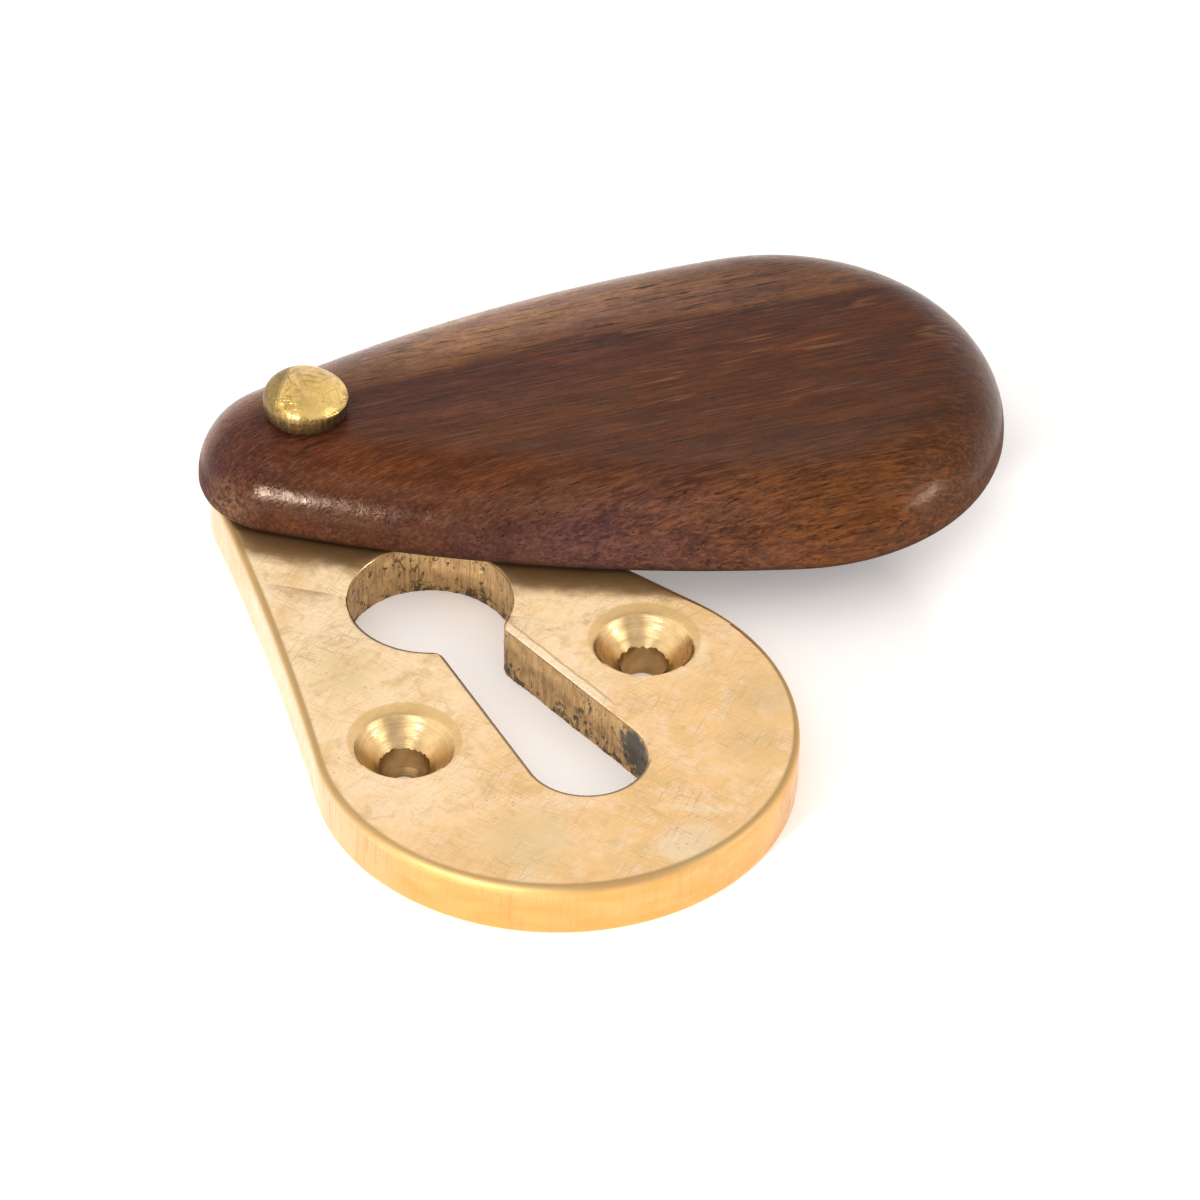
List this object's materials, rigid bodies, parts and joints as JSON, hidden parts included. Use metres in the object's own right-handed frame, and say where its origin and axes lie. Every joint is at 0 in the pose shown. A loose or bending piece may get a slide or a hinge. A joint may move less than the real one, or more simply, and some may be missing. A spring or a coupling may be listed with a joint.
{
  "type": "keyhole escutcheon with swing cover",
  "caption": "Teardrop brass keyhole escutcheon, with a keyhole, countersunk screw holes and a rosewood cover that swings on a brass rivet.",
  "frame": {"origin": "midway between the two fixing screw holes, on the plate's back face", "axes": "+Z out of the door or drawer front, +Y up from the screw holes to the pivot rivet, +X to the right seen from the front"},
  "size_m": [0.0582, 0.0503, 0.012],
  "materials": {
    "plate_brass": "polished",
    "cover_wood": "oiled satin",
    "rivet_brass": "tarnished"
  },
  "bodies": {
    "plate": {"back_plate": "plate_brass", "pivot_rivet": "rivet_brass"},
    "cover": {"swing_cover": "cover_wood"}
  },
  "joints": [
    {"name": "cover_swing", "type": "hinge", "parent": "plate", "child": "cover", "pos_m": [0, 0.0254, 0.0037], "axis": [0, 0, 1], "continuous": true}
  ]
}
